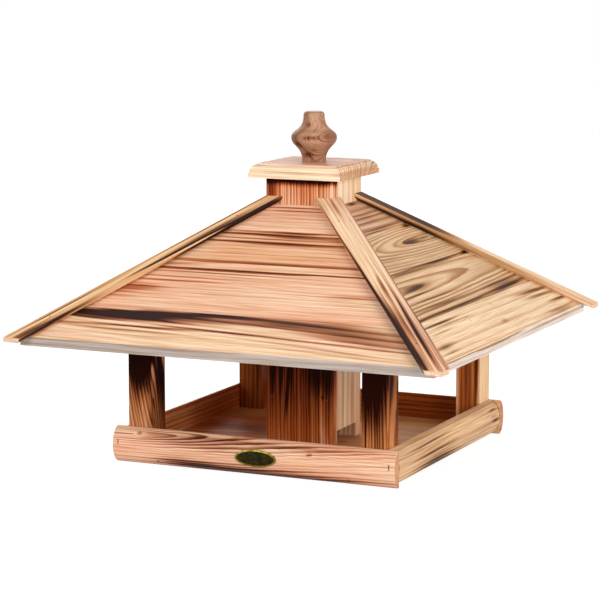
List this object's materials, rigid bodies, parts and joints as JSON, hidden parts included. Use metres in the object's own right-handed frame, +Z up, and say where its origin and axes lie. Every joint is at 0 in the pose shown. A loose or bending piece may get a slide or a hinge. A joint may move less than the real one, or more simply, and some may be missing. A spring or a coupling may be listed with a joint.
{
  "type": "bird table",
  "caption": "Square roofed bird table: railed feeding tray, corner posts, hipped plank roof and a central seed silo with a lift-off knobbed lid.",
  "frame": {"origin": "centre of the tray's underside, on the ground it stands on", "axes": "+Z up, +X towards the right-hand side, -Y towards the front, where the oval plate is"},
  "size_m": [0.491, 0.491, 0.3693],
  "materials": {
    "rail_wood": "lightly torched pine, oiled, satin",
    "floor_wood": "bare pine board, grey-brown, matt",
    "post_wood": "heavily torched pine, dark brown to black, satin",
    "silo_wood": "torched pine, brown with dark bands, satin",
    "rafter_wood": "sawn pine, bare",
    "plank_wood": "torched pine boards with charred streaks along the grain, satin",
    "cap_wood": "torched pine moulding with charred edges, satin",
    "lid_wood": "lightly torched pine, satin",
    "knob_wood": "turned mid-brown hardwood, satin",
    "plate_brass": "aged, dull",
    "wire_steel": "bright drawn wire",
    "screw_steel": "zinc plated"
  },
  "bodies": {
    "table": {"tray_rail_front": "rail_wood", "tray_rail_right": "rail_wood", "tray_rail_back": "rail_wood", "tray_rail_left": "rail_wood", "tray_floor": "floor_wood", "post_front_right": "post_wood", "post_back_right": "post_wood", "post_back_left": "post_wood", "post_front_left": "post_wood", "silo_board_front": "silo_wood", "silo_board_right": "silo_wood", "silo_board_back": "silo_wood", "silo_board_left": "silo_wood", "rafter_front_right": "rafter_wood", "rafter_back_right": "rafter_wood", "rafter_back_left": "rafter_wood", "rafter_front_left": "rafter_wood", "plank_front_1": "plank_wood", "plank_front_2": "plank_wood", "plank_front_3": "plank_wood", "plank_front_4": "plank_wood", "plank_right_1": "plank_wood", "plank_right_2": "plank_wood", "plank_right_3": "plank_wood", "plank_right_4": "plank_wood", "plank_back_1": "plank_wood", "plank_back_2": "plank_wood", "plank_back_3": "plank_wood", "plank_back_4": "plank_wood", "plank_left_1": "plank_wood", "plank_left_2": "plank_wood", "plank_left_3": "plank_wood", "plank_left_4": "plank_wood", "hip_cap_front_right": "cap_wood", "hip_cap_back_right": "cap_wood", "hip_cap_back_left": "cap_wood", "hip_cap_front_left": "cap_wood", "oval_plate": "plate_brass", "plate_pins": "plate_brass", "rail_staples": "wire_steel", "plank_nails": "wire_steel", "cap_brads": "wire_steel", "silo_brads": "wire_steel", "floor_pins": "wire_steel", "floor_screws": "screw_steel", "rafter_screws": "screw_steel"},
    "lid": {"lid_board": "lid_wood", "lid_block": "lid_wood", "lid_knob": "knob_wood", "knob_screw": "screw_steel"}
  },
  "joints": [
    {"name": "lid_lift", "type": "slide", "parent": "table", "child": "lid", "axis": [0, 0, 1], "range_m": [0, 0.06]}
  ]
}
